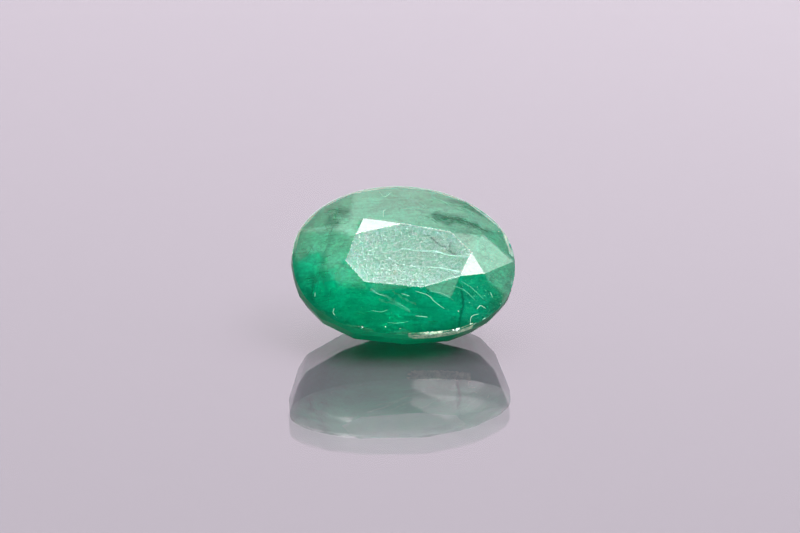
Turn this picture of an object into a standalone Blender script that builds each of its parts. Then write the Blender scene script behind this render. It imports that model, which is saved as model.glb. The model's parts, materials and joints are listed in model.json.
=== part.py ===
"""An oval emerald, cut from one crystal and lying on a facet of its pavilion.

Run it with: blender --background --python part.py, or from Blender's text editor.

The stone is made the way it is cut. A preform with the girdle's oval outline is
ground flat, one facet after another, until only the facets are left. In the
stone's own frame the girdle lies in the XY plane, the table faces +Z, and +X runs
along the length. Stations are angles round the girdle, counted from +X.
When every facet is cut, the stone is turned over onto the facet that it rests on.
"""

import math

import bmesh
import bpy
from mathutils import Matrix, Vector

MM = 0.001

# Girdle: its outline, and the band left between the crown and the pavilion.
LENGTH = 14.0 * MM
WIDTH = 10.4 * MM
BACK_FULLNESS = 2.0        # 2 is a true ellipse, and more is squarer
FRONT_FULLNESS = 2.3
OUTLINE_POINTS = 128
STATION_STEP = 0.05        # degrees either side of a station, to read the outline's run
REACH_STATIONS = 720       # stations tried to find the outline's farthest point
GIRDLE_TOP = 0.2 * MM
GIRDLE_BOTTOM = -0.4 * MM

# Preform: how far the rough reaches before it is cut.
PREFORM_TOP = 3.0 * MM
PREFORM_BOTTOM = -8.0 * MM

# Crown. Each main facet has its station, the table corner that it starts from (x and y
# in millimetres), its slope and its twist from the outline's own direction. The stone
# was cut by hand, so no two are quite alike.
TABLE_HEIGHT = 1.43 * MM
CROWN_MAINS = (
    (0.0, (4.1, 0.0), 22.8, 3.0),
    (54.0, (2.8, 1.4), 19.5, 0.0),
    (96.0, (-0.2, 1.9), 19.3, 0.0),
    (138.0, (-3.1, 1.1), 19.5, 0.5),
    (180.0, (-3.8, -0.8), 20.5, 5.0),
    (225.5, (-2.7, -2.2), 20.2, 2.5),
    (270.0, (0.9, -2.5), 23.5, 1.0),
    (315.0, (3.3, -1.7), 22.3, 4.0),
)
# Stars lie between one main and the next. So do the pairs of break facets, which meet
# at a station midway, moved a little by hand.
STAR_SLOPES = (13.0, 13.0, 11.5, 11.5, 12.8, 13.0, 14.0, 13.5)
BREAK_SHIFTS = (0.0, 0.0, 0.0, 0.0, -0.5, 0.0, 1.0, -1.3)

# Pavilion: a steep tier under the girdle, then the mains, then a blunt keel.
STEEP_FACETS = 16
STEEP_SLOPE = 70.0
STEEP_EXTRA = (0, 1, 0, 2, 0, 0, 1, 4, 0, 1.5, 0.5, 0, 2, 2.5, 1, 4)
MAIN_SLOPE = 42.6
MAIN_START = 1.85 * MM     # depth at which an unworn main would leave the outline
MAIN_STATIONS = (0.0, 54.0, 94.0, 137.0, 180.0, 223.0, 316.0)
MAIN_LEFT_PROUD = (0.0, 0.1, 0.0, 0.15, 0.5, 0.0, 0.55)
REST_AZIMUTH = -87.0
KEEL_SLOPE = 27.0
KEEL_DEPTH = 6.2 * MM

# A cut keeps a corner that lies this close to it, so that facets can share a corner.
TOUCH = 0.002 * MM
WELD = 0.01 * MM

EMERALD = (0.02, 0.34, 0.19, 1.0)
EMERALD_ROUGHNESS = 0.08


def outline(station):
    """Return the girdle outline's point at a station, in the XY plane."""
    angle = math.radians(station)
    across = math.sin(angle)
    along = math.cos(angle)
    fullness = FRONT_FULLNESS if across < 0.0 else BACK_FULLNESS
    x = math.copysign(abs(along) ** (2.0 / fullness), along) * LENGTH / 2
    y = math.copysign(abs(across) ** (2.0 / fullness), across) * WIDTH / 2
    return Vector((x, y, 0.0))


def outward(station):
    """Return the azimuth, in degrees, that the outline faces at a station."""
    run = outline(station + STATION_STEP) - outline(station - STATION_STEP)
    return math.degrees(math.atan2(-run.x, run.y))


def reach(azimuth):
    """Return how far the outline reaches in a direction."""
    way = Vector((math.cos(math.radians(azimuth)), math.sin(math.radians(azimuth)), 0.0))
    stations = [360.0 * i / REACH_STATIONS for i in range(REACH_STATIONS)]
    return max(outline(station).dot(way) for station in stations)


def slanted(azimuth, slope, side):
    """Return a facet's normal. Side is +1 on the crown and -1 on the pavilion."""
    turn = math.radians(azimuth)
    tilt = math.radians(slope)
    flat = math.sin(tilt)
    return Vector((math.cos(turn) * flat, math.sin(turn) * flat, side * math.cos(tilt)))


def facet(point, normal):
    """A facet is the plane through a point, with its normal facing out of the stone."""
    return point.copy(), normal.normalized()


def facet_through(a, b, c):
    """Return the facet through three points where others meet."""
    normal = (b - a).cross(c - a)
    if normal.dot(a) < 0.0:
        normal.negate()
    return facet(a, normal)


def meeting(first, second, third):
    """Return the point where three facets meet."""
    rows = Matrix((first[1], second[1], third[1]))
    reaches = Vector([normal.dot(point) for point, normal in (first, second, third)])
    return rows.inverted() @ reaches


def crown_facets():
    """Return the crown's facets: the table, the mains, the stars and the breaks."""
    corners = [Vector((x * MM, y * MM, TABLE_HEIGHT)) for _, (x, y), _, _ in CROWN_MAINS]
    mains = []
    for corner, (station, _, slope, twist) in zip(corners, CROWN_MAINS):
        mains.append(facet(corner, slanted(outward(station) + twist, slope, 1)))

    stars = []
    breaks = []
    count = len(CROWN_MAINS)
    for i in range(count):
        following = (i + 1) % count
        edge = corners[following] - corners[i]
        azimuth = math.degrees(math.atan2(-edge.x, edge.y))
        star = facet(corners[i], slanted(azimuth, STAR_SLOPES[i], 1))
        stars.append(star)

        shoulder = meeting(mains[i], mains[following], star)
        start = CROWN_MAINS[i][0]
        end = CROWN_MAINS[following][0] + (360.0 if following == 0 else 0.0)
        middle = (start + end) / 2 + BREAK_SHIFTS[i]
        girdle = Vector((0.0, 0.0, GIRDLE_TOP))
        for side in (start, end):
            breaks.append(facet_through(shoulder, outline(side) + girdle, outline(middle) + girdle))

    table = facet(Vector((0.0, 0.0, TABLE_HEIGHT)), Vector((0.0, 0.0, 1.0)))
    return mains + breaks + stars + [table]


def pavilion_facets():
    """Return the pavilion's facets: the steep tier, the mains and the keel."""
    steep = []
    for i, extra in enumerate(STEEP_EXTRA):
        station = (i + 0.5) * 360.0 / STEEP_FACETS
        point = outline(station) + Vector((0.0, 0.0, GIRDLE_BOTTOM))
        steep.append(facet(point, slanted(outward(station), STEEP_SLOPE + extra, -1)))

    mains = []
    keel = []
    azimuths = [outward(station) for station in MAIN_STATIONS] + [REST_AZIMUTH]
    for azimuth, proud in zip(azimuths, MAIN_LEFT_PROUD + (0.0,)):
        way = slanted(azimuth, 90.0, -1)
        start = way * reach(azimuth) - Vector((0.0, 0.0, MAIN_START + proud * MM))
        mains.append(facet(start, slanted(azimuth, MAIN_SLOPE, -1)))
        culet = Vector((0.0, 0.0, -KEEL_DEPTH))
        keel.append(facet(culet, slanted(azimuth, KEEL_SLOPE, -1)))
    return steep + mains + keel


def make_preform(mesh):
    """Fill a bmesh with the rough: the girdle's outline, drawn out along Z."""
    ring = []
    for i in range(OUTLINE_POINTS):
        point = outline(360.0 * (i + 0.5) / OUTLINE_POINTS)
        ring.append(mesh.verts.new((point.x, point.y, PREFORM_BOTTOM)))
    base = mesh.faces.new(reversed(ring))
    drawn = bmesh.ops.extrude_face_region(mesh, geom=[base], use_keep_orig=True)
    top = [item for item in drawn["geom"] if isinstance(item, bmesh.types.BMVert)]
    bmesh.ops.translate(mesh, verts=top, vec=(0.0, 0.0, PREFORM_TOP - PREFORM_BOTTOM))
    bmesh.ops.recalc_face_normals(mesh, faces=mesh.faces[:])


def grind(mesh, point, normal):
    """Grind one facet flat, and close the stone with it."""
    whole = mesh.verts[:] + mesh.edges[:] + mesh.faces[:]
    ground = bmesh.ops.bisect_plane(
        mesh, geom=whole, dist=TOUCH, plane_co=point, plane_no=normal, clear_outer=True
    )
    rim = [item for item in ground["geom_cut"] if isinstance(item, bmesh.types.BMEdge)]
    open_rim = [edge for edge in rim if edge.is_boundary]
    if open_rim:
        bmesh.ops.holes_fill(mesh, edges=open_rim, sides=0)


def make_stone(name, material, collection):
    """Cut the whole stone and return it as one object, in the girdle's frame."""
    stone = bmesh.new()
    make_preform(stone)
    for point, normal in crown_facets() + pavilion_facets():
        grind(stone, point, normal)
    bmesh.ops.remove_doubles(stone, verts=stone.verts[:], dist=WELD)
    bmesh.ops.recalc_face_normals(stone, faces=stone.faces[:])
    data = bpy.data.meshes.new(name)
    stone.to_mesh(data)
    stone.free()
    data.materials.append(material)
    made = bpy.data.objects.new(name, data)
    collection.objects.link(made)
    return made


def lay_down(stone):
    """Turn the stone onto the facet that it rests on, over the middle of its footprint."""
    face_front = Matrix.Rotation(math.radians(-90.0 - REST_AZIMUTH), 4, "Z")
    tip_over = Matrix.Rotation(math.radians(MAIN_SLOPE), 4, "X")
    turned = tip_over @ face_front
    corners = [turned @ vertex.co for vertex in stone.data.vertices]
    middle_x = (min(c.x for c in corners) + max(c.x for c in corners)) / 2
    middle_y = (min(c.y for c in corners) + max(c.y for c in corners)) / 2
    lowest = min(c.z for c in corners)
    stone.matrix_world = Matrix.Translation((-middle_x, -middle_y, -lowest)) @ turned


def emerald_material():
    """Deep green, polished and clear."""
    material = bpy.data.materials.new("emerald")
    material.use_nodes = True
    shader = material.node_tree.nodes["Principled BSDF"]
    shader.inputs["Base Color"].default_value = EMERALD
    shader.inputs["Roughness"].default_value = EMERALD_ROUGHNESS
    shader.inputs["Metallic"].default_value = 0.0
    return material


def main():
    for old in list(bpy.data.objects):
        bpy.data.objects.remove(old, do_unlink=True)
    collection = bpy.data.collections.new("oval_emerald")
    bpy.context.scene.collection.children.link(collection)
    stone = make_stone("emerald", emerald_material(), collection)
    lay_down(stone)
    bpy.context.view_layer.update()


main()
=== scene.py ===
# %% [markdown]
# # An oval emerald, from its cut solid to its finish
# The stone is one crystal, cut by hand into an oval: a flat table on top, a ring of crown
# facets, a narrow girdle, and a deep pavilion below. It lies tipped over on one pavilion
# facet, so its table leans towards the viewer. The solid's shape is already right, so this
# script takes that shape as its frame and makes what the eye adds: a milky green body,
# veils and dark threads sealed in it, rubbed edges, scratches, and dust.

# %% Load the frame
import json
import math
import random

import bmesh
import bpy
from mathutils import Matrix, Vector, noise

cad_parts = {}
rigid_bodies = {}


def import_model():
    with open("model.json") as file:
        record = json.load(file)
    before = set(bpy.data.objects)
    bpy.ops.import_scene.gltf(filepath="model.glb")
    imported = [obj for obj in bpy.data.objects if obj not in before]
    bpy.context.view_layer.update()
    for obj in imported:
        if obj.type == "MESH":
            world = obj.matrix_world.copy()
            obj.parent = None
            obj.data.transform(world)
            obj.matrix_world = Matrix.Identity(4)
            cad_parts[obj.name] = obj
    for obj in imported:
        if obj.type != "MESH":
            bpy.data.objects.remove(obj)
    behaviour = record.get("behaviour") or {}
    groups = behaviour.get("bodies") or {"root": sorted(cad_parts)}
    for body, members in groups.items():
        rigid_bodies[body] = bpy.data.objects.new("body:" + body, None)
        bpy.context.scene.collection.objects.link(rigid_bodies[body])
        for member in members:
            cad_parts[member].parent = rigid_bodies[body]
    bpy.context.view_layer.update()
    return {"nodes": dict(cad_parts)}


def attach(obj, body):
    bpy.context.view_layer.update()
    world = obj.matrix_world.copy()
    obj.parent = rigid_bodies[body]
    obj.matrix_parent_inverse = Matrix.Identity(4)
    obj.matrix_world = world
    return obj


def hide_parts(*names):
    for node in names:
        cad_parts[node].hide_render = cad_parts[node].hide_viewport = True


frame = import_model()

MM = 0.001

# %% [markdown]
# ## The stone's own frame
# A cutter thinks of a stone with its girdle level, its table facing up and its length along
# X. Every mark below is placed in that frame, because a place on the crown is easier to say
# there. One matrix lays the frame down onto the plate: two angles give its turn, and its
# place is measured from the solid itself.

# %% Lay the stone's frame down
REST_TILT = math.radians(42.6)
REST_TURN = math.radians(-3.0)
TABLE_HEIGHT = 1.43 * MM

stone_turn = Matrix.Rotation(REST_TILT, 4, "X") @ Matrix.Rotation(REST_TURN, 4, "Z")
cut_solid = frame["nodes"]["emerald"]
level = [stone_turn.inverted() @ v.co for v in cut_solid.data.vertices]
girdle_centre = Vector((
    (min(p.x for p in level) + max(p.x for p in level)) / 2,
    (min(p.y for p in level) + max(p.y for p in level)) / 2,
    max(p.z for p in level) - TABLE_HEIGHT,
))
laid_down = stone_turn @ Matrix.Translation(girdle_centre)
print("girdle centre in mm:", [round(v / MM, 3) for v in laid_down.translation])

# %% [markdown]
# ## Camera
# A stone this small fills the view through a long lens, which also keeps its outline free of
# perspective swelling. A Track To constraint could aim the camera. Here it is set back along
# one line and turned by a few angles, so that each can be read and changed alone.

# %% Place the camera
CAMERA_HEADING = math.radians(-8.032)
CAMERA_ELEVATION = math.radians(21.053)
CAMERA_ROLL = math.radians(1.441)
CAMERA_LIFT = math.radians(0.8709)      # how far above the stone's foot it aims
CAMERA_SWING = math.radians(0.0237)     # and how far to the side
CAMERA_DISTANCE = 280 * MM
CAMERA_LENS = 200.08
CAMERA_CLIP = 10 * MM


def add_object(name, data):
    """Add an object to the scene."""
    added = bpy.data.objects.new(name, data)
    bpy.context.scene.collection.objects.link(added)
    return added


foot = Vector((laid_down.translation.x, laid_down.translation.y, 0.0))
heading = Matrix.Rotation(CAMERA_HEADING, 4, "Z")
back_off = Vector((0.0, -math.cos(CAMERA_ELEVATION), math.sin(CAMERA_ELEVATION)))

camera_data = bpy.data.cameras.new("camera")
camera_data.lens = CAMERA_LENS
camera_data.clip_start = CAMERA_CLIP
camera = add_object("camera", camera_data)
camera.matrix_world = (
    Matrix.Translation(foot + heading @ back_off * CAMERA_DISTANCE)
    @ heading
    @ Matrix.Rotation(math.pi / 2 - CAMERA_ELEVATION, 4, "X")
    @ Matrix.Rotation(CAMERA_ROLL, 4, "Z")
    @ Matrix.Rotation(CAMERA_LIFT, 4, "X")
    @ Matrix.Rotation(CAMERA_SWING, 4, "Y")
)
bpy.context.scene.camera = camera
print("camera in mm:", [round(v / MM, 1) for v in camera.location])

# %% [markdown]
# ## Node helpers
# Every finish below is a small web of nodes. It could be drawn by hand in the Shader Editor,
# but written out it can be read, changed and built again. These helpers add a node, join its
# sockets, wrap the nodes used most, and start and place a node group.

# %% Node helpers
def add_node(tree, kind, **settings):
    """Add a node and set its properties."""
    node = tree.nodes.new(kind)
    for name, value in settings.items():
        setattr(node, name, value)
    return node


def plug(tree, source, target):
    """Join an output to an input, or set the input where the source is a plain value."""
    if isinstance(source, bpy.types.NodeSocket):
        tree.links.new(source, target)
    else:
        target.default_value = source


def maths(tree, operation, first, second=0.0, third=0.0, clamp=False):
    """Return the output of one Math node."""
    node = add_node(tree, "ShaderNodeMath", operation=operation, use_clamp=clamp)
    for value, socket in zip((first, second, third), node.inputs):
        plug(tree, value, socket)
    return node.outputs[0]


def vector_maths(tree, operation, first, second=(0.0, 0.0, 0.0)):
    """Return the output of one Vector Math node: a number if it measures, or a vector."""
    node = add_node(tree, "ShaderNodeVectorMath", operation=operation)
    plug(tree, first, node.inputs[0])
    plug(tree, second, node.inputs["Scale" if operation == "SCALE" else 1])
    measures = operation in ("DOT_PRODUCT", "LENGTH", "DISTANCE")
    return node.outputs["Value" if measures else "Vector"]


def ease(tree, value, start, end, low=0.0, high=1.0):
    """Return a value eased from low to high while the input goes from start to end."""
    node = add_node(tree, "ShaderNodeMapRange", interpolation_type="SMOOTHSTEP")
    for source, name in ((value, "Value"), (start, "From Min"), (end, "From Max"),
                         (low, "To Min"), (high, "To Max")):
        plug(tree, source, node.inputs[name])
    return node.outputs["Result"]


def tint(tree, amount, first, second, blend="MIX"):
    """Return a colour mixed from two."""
    node = add_node(tree, "ShaderNodeMix", data_type="RGBA", blend_type=blend)
    plug(tree, amount, node.inputs["Factor"])
    plug(tree, first, node.inputs["A"])
    plug(tree, second, node.inputs["B"])
    return node.outputs["Result"]


def grain(tree, where, scale, detail=2.0, roughness=0.5, distortion=0.0):
    """Return a noise value at a place."""
    node = add_node(tree, "ShaderNodeTexNoise")
    plug(tree, where, node.inputs["Vector"])
    node.inputs["Scale"].default_value = scale
    node.inputs["Detail"].default_value = detail
    node.inputs["Roughness"].default_value = roughness
    node.inputs["Distortion"].default_value = distortion
    return node.outputs["Fac"]


def start_group(name, inputs, outputs):
    """Start a node group and return it with its input and output nodes."""
    group = bpy.data.node_groups.new(name, "ShaderNodeTree")
    for label, kind, value in inputs:
        socket = group.interface.new_socket(label, in_out="INPUT", socket_type=kind)
        socket.default_value = value
    for label, kind in outputs:
        group.interface.new_socket(label, in_out="OUTPUT", socket_type=kind)
    return group, group.nodes.new("NodeGroupInput"), group.nodes.new("NodeGroupOutput")


def use_group(tree, group, **values):
    """Place a group in a tree. A value's name is its input's, with _ for a space."""
    node = add_node(tree, "ShaderNodeGroup", node_tree=group)
    for name, value in values.items():
        plug(tree, value, node.inputs[name.replace("_", " ")])
    return node

# %% [markdown]
# ## Light
# A polished facet is a small mirror, so each one shows the brightness of one patch of the
# studio. The studio is a white tent: bright behind and above, with a panel on the right, and
# dark in front where the camera stands. Area lights could make it. Painted on the world by
# direction it has soft edges and little noise. Two small lamps make two facets flash white.

# %% A soft patch of light on the world
soft_patch, patch_in, patch_out = start_group(
    "soft_patch_of_light",
    [("Direction", "NodeSocketVector", (0, 0, 1)), ("Centre", "NodeSocketVector", (0, 0, 1)),
     ("Core", "NodeSocketFloat", 10.0), ("Reach", "NodeSocketFloat", 40.0),
     ("Strength", "NodeSocketFloat", 1.0)],
    [("Light", "NodeSocketFloat")],
)
facing = vector_maths(
    soft_patch, "DOT_PRODUCT", patch_in.outputs["Direction"], patch_in.outputs["Centre"]
)
away = maths(soft_patch, "DEGREES", maths(soft_patch, "ARCCOSINE", facing))
patch_light = ease(soft_patch, away, patch_in.outputs["Core"], patch_in.outputs["Reach"],
                   patch_in.outputs["Strength"], 0.0)
plug(soft_patch, patch_light, patch_out.inputs["Light"])


def direction(azimuth, elevation):
    """Return a direction. Azimuth 0 is straight behind the stone, and 90 is to its right."""
    turn = math.radians(azimuth)
    rise = math.radians(elevation)
    return heading @ Vector((
        math.sin(turn) * math.cos(rise), math.cos(turn) * math.cos(rise), math.sin(rise)
    ))

# %% Paint the tent
WALL_LIGHT = 2.2
WALL_AZIMUTH = 12.8
WALL_ENDS = (-0.27, -0.1)      # cosines from its middle, where its light starts and is full
WALL_HEIGHTS = (0.24, 0.96)    # sines of the rise, where it starts to fade and has gone
FRONT_LIGHT = 0.6              # the low front of the tent, under the camera
FRONT_HEIGHTS = (0.21, 0.08)
TENT_PATCHES = (
    # azimuth, elevation, core, reach, strength
    (-14.9, 66.9, 4.4, 53.0, 3.9),      # the cloth overhead
    (-35.0, 53.0, 13.0, 19.5, -1.5),    # a gap between two cloths
    (-32.0, 8.0, 0.0, 48.0, -0.6),      # the wall is duller on the left
    (82.5, 53.2, 11.8, 20.0, 5.9),      # a white panel on the right
    (150.3, 45.7, 6.2, 14.1, 2.5),      # a glow on the front cloth, to the right
    (-157.3, 58.7, 12.0, 24.0, 1.5),    # a glow on the front cloth, to the left
    (-89.0, 87.0, 12.0, 29.0, 2.0),     # the seam at the very top
)
WALL_TINT = (1.0, 0.9, 1.0)
TENT_TINT = (1.0, 0.985, 0.97)

world = bpy.data.worlds.new("tent")
world.use_nodes = True
bpy.context.scene.world = world
sky = world.node_tree
sky.nodes.clear()
sky_direction = sky.nodes.new("ShaderNodeTexCoord").outputs["Generated"]

tent_light = 0.0
for azimuth, elevation, core, reach, strength in TENT_PATCHES:
    patch = use_group(sky, soft_patch, Direction=sky_direction,
                      Centre=direction(azimuth, elevation),
                      Core=core, Reach=reach, Strength=strength)
    tent_light = maths(sky, "ADD", patch.outputs["Light"], tent_light)

behind = vector_maths(sky, "DOT_PRODUCT", sky_direction, direction(WALL_AZIMUTH, 0.0))
height = add_node(sky, "ShaderNodeSeparateXYZ")
plug(sky, sky_direction, height.inputs[0])
wall_light = ease(sky, height.outputs["Z"], *WALL_HEIGHTS, WALL_LIGHT, 0.0)
wall_light = maths(sky, "MULTIPLY", wall_light, ease(sky, behind, *WALL_ENDS))
front_light = ease(sky, height.outputs["Z"], *FRONT_HEIGHTS, 0.0, FRONT_LIGHT)
wall_light = maths(sky, "MAXIMUM", wall_light, front_light)

tent_colour = vector_maths(sky, "SCALE", TENT_TINT, tent_light)
wall_colour = vector_maths(sky, "SCALE", WALL_TINT, wall_light)
sky_colour = vector_maths(sky, "ADD", tent_colour, wall_colour)
background = sky.nodes.new("ShaderNodeBackground")
plug(sky, sky_colour, background.inputs["Color"])
plug(sky, background.outputs[0], sky.nodes.new("ShaderNodeOutputWorld").inputs["Surface"])
print("patches of light on the tent:", len(TENT_PATCHES))

# %% Two lamps
LAMP_DISTANCE = 0.7
LAMPS = (
    # name, direction (right, back, up), angular radius in degrees, radiance
    ("top_lamp", (-0.02, 0.15, 0.99), 5.0, 14.5),
    ("front_lamp", (0.43, -0.38, 0.82), 12.0, 21.0),
)
LAMP_TINT = (1.0, 0.86, 0.92)

for name, way, spread, brightness in LAMPS:
    radius = LAMP_DISTANCE * math.tan(math.radians(spread))
    lamp_data = bpy.data.lights.new(name, "AREA")
    lamp_data.shape = "DISK"
    lamp_data.size = 2 * radius
    lamp_data.energy = brightness * math.pi * math.pi * radius ** 2
    lamp_data.color = LAMP_TINT
    lamp = add_object(name, lamp_data)
    aim = (heading @ Vector(way)).normalized()
    lamp.location = laid_down.translation + aim * LAMP_DISTANCE
    lamp.rotation_euler = aim.to_track_quat("Z", "Y").to_euler()
    lamp.visible_camera = False
    print(name, "gives", round(lamp_data.energy, 2), "W")

# Standard shows each colour as it is mixed, with no film curve over it.
bpy.context.scene.view_settings.view_transform = "Standard"

# %% [markdown]
# ## Floor
# The stone lies on a clear plate over a dull lilac card. The plate mirrors the bright tent,
# so the floor looks pale, and it mirrors the stone twice: once in its top face and once, a
# little lower, in its bottom face. A real slab would bend light and cost many samples. Two
# thin mirrors do the same, with the lower one at the slab's apparent depth.

# %% Lay the plate and its card
FLOOR_SIZE = 3.0               # metres from the middle to each side
PLATE_DEPTH = 0.57 * MM
PLATE_INDEX = 1.5
PLATE_ROUGHNESS = 0.0
CARD_COLOUR = (0.075, 0.07, 0.085, 1.0)


def add_sheet(name, depth):
    """Lay one flat sheet of floor."""
    mesh = bpy.data.meshes.new(name)
    shape = bmesh.new()
    bmesh.ops.create_grid(shape, x_segments=1, y_segments=1, size=FLOOR_SIZE)
    bmesh.ops.translate(shape, verts=shape.verts, vec=(0.0, 0.0, -depth))
    shape.to_mesh(mesh)
    shape.free()
    sheet = add_object(name, mesh)
    return sheet


def plate_material(name, under):
    """A sheet that mirrors some light, over what the second shader shows."""
    material = bpy.data.materials.new(name)
    material.use_nodes = True
    tree = material.node_tree
    tree.nodes.clear()
    mirror = tree.nodes.new("ShaderNodeBsdfGlossy")
    mirror.inputs["Roughness"].default_value = PLATE_ROUGHNESS
    fresnel = tree.nodes.new("ShaderNodeFresnel")
    # Light that leaves the plate meets the index turned over, which is its power of -1.
    seen_from_below = tree.nodes.new("ShaderNodeNewGeometry").outputs["Backfacing"]
    power = maths(tree, "MULTIPLY_ADD", seen_from_below, -2.0, 1.0)
    plug(tree, maths(tree, "POWER", PLATE_INDEX, power), fresnel.inputs["IOR"])
    below = tree.nodes.new(under)
    mix = tree.nodes.new("ShaderNodeMixShader")
    plug(tree, fresnel.outputs[0], mix.inputs[0])
    plug(tree, below.outputs[0], mix.inputs[1])
    plug(tree, mirror.outputs[0], mix.inputs[2])
    plug(tree, mix.outputs[0], tree.nodes.new("ShaderNodeOutputMaterial").inputs["Surface"])
    return material, below


plate = add_sheet("floor_plate", 0.0)
plate_top, _ = plate_material("clear_plate", "ShaderNodeBsdfTransparent")
plate.data.materials.append(plate_top)
card = add_sheet("floor_card", PLATE_DEPTH)
card_face, card_body = plate_material("card_under_plate", "ShaderNodeBsdfDiffuse")
card_body.inputs["Color"].default_value = CARD_COLOUR
card.data.materials.append(card_face)
print("card below the plate's face in mm:", round(PLATE_DEPTH / MM, 2))

# %% [markdown]
# ## The stone's mesh
# The solid is right to the size, but its facets are split into triangles, and every edge is
# perfectly sharp. On this stone only a few facets are crisp, and handling has rubbed the
# edges between the others soft. The mesh is taken into the stone's own frame, and its
# triangles are joined back into facets.

# %% Join the triangles back into facets
WELD = 0.002 * MM
SAME_PLANE = math.radians(0.35)

shape = bmesh.new()
shape.from_mesh(cut_solid.data)
bmesh.ops.transform(shape, matrix=laid_down.inverted(), verts=shape.verts)
bmesh.ops.remove_doubles(shape, verts=shape.verts, dist=WELD)
bmesh.ops.dissolve_limit(
    shape, angle_limit=SAME_PLANE, verts=shape.verts, edges=shape.edges, delimit=set()
)
print("facets:", len(shape.faces))

# %% Note which facets are crisp
# The table, the star at its left, the star at its right, and the main at the right end.
CRISP_PLACES = ((0.0, 0.0), (-1.75, 1.85), (3.95, -0.95), (5.2, 0.3))
GIRDLE_STEEP = 0.02            # a normal rises less than this on the girdle
TABLE_FLAT = 0.9999            # and more than this on the table

girdle_layer = shape.faces.layers.float.new("girdle")
table_layer = shape.faces.layers.float.new("table")
crisp_layer = shape.faces.layers.float.new("crisp")
crown_faces = [face for face in shape.faces if face.normal.z > GIRDLE_STEEP]
for place in CRISP_PLACES:
    spot = Vector(place) * MM
    nearest_face = min(crown_faces, key=lambda f: (f.calc_center_median().xy - spot).length)
    nearest_face[crisp_layer] = 1.0
for face in shape.faces:
    face[girdle_layer] = 1.0 if abs(face.normal.z) < GIRDLE_STEEP else 0.0
    face[table_layer] = 1.0 if face.normal.z > TABLE_FLAT else 0.0
    if face[girdle_layer]:
        face[crisp_layer] = 1.0

soft_planes = [
    (face.normal.copy(), face.normal.dot(face.verts[0].co))
    for face in shape.faces if not face[crisp_layer]
]
for edge in shape.edges:
    edge.smooth = not any(face[crisp_layer] for face in edge.link_faces)
print("soft facets:", len(soft_planes))

# %% Slice the mesh finely
# Only an even, fine mesh can bend where an edge is rubbed round.
SLICE = 0.2 * MM
SLICE_TOUCH = WELD / 4

for axis in (0, 1):
    normal = Vector((1.0 - axis, axis, 0.0))
    count = int(max(abs(v.co[axis]) for v in shape.verts) / SLICE)
    for i in range(-count, count + 1):
        everything = shape.verts[:] + shape.edges[:] + shape.faces[:]
        bmesh.ops.bisect_plane(shape, geom=everything, dist=SLICE_TOUCH,
                               plane_co=normal * SLICE * i, plane_no=normal)
print("faces after slicing:", len(shape.faces))

# %% Rub the edges round
# Near an edge, a rubbed surface runs a little inside both facets' planes. A soft maximum
# of the distances to every plane gives that surface, and its sharpness sets the rounding.
RUB_SHARPNESS = 85.0 / MM
RIM_HEIGHT = 0.14 * MM      # wear has levelled the crown's rim


def rub(point):
    """Return a point on a soft facet, moved in to where rubbing has left the surface."""
    side = 1.0 if point.z > 0.0 else -1.0
    pull = Vector()
    total = 0.0
    for normal, distance in soft_planes:
        if normal.z * side < 0.0:
            continue
        weight = math.exp(RUB_SHARPNESS * (normal.dot(point) - distance))
        total += weight
        pull += normal * weight
    return point - pull.normalized() * math.log(total) / RUB_SHARPNESS


deepest = 0.0
for v in shape.verts:
    kinds = {face[girdle_layer] for face in v.link_faces}
    if len(kinds) == 2 and v.co.z > 0.0:
        v.co.z = RIM_HEIGHT
    if any(face[crisp_layer] for face in v.link_faces):
        continue
    moved = rub(v.co)
    deepest = max(deepest, (v.co - moved).length)
    v.co = moved
for face in shape.faces:
    face.smooth = True
print("deepest rubbing in mm:", round(deepest / MM, 3))

# %% Lay the mesh down in the stone's frame
def lay_piece(name, mesh):
    """Put a mesh that is made in the stone's own frame into the scene."""
    piece = add_object(name, mesh)
    piece.matrix_world = laid_down
    print(name, "has", len(mesh.polygons), "faces")
    return piece


stone_mesh = bpy.data.meshes.new("emerald_stone")
shape.to_mesh(stone_mesh)
shape.free()
stone = lay_piece("emerald_stone", stone_mesh)

# %% [markdown]
# ## Marks in the stone
# A natural emerald is full of its own history: milky clouds, growth lines, dark threads and
# healed cracks. Each could be a mesh inside the stone, but its body is too milky to show one
# sharply. They lie close under the facets, so the material draws them, at places in the
# stone's own frame, in millimetres. They stay put from any side.

# %% Milky clouds and growth lines
# Noise stretched along the crystal's length gives growth lines, and noise near its own
# middle value gives thin wisps. A stretch below 1 draws a pattern out along that axis.
PATTERNS = (
    # output, stretch, its size, the noise's detail, roughness and distortion, its edges
    ("Clouds", (0.55, 1.0, 1.0), "Cloud Size", (5.0, 0.62, 0.6), (0.3, 0.72)),
    ("Lines", (0.05, 1.0, 1.0), "Line Spacing", (3.0, 0.7, 0.1), (0.3, 0.7)),
)
WISP_STRETCH = (0.7, 1.1, 0.9)
MOTTLE_SCALE = 5.0             # per mm, as are the next two
WISP_SCALE = 1.1
WISP_AREA_SCALE = 0.45

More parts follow.
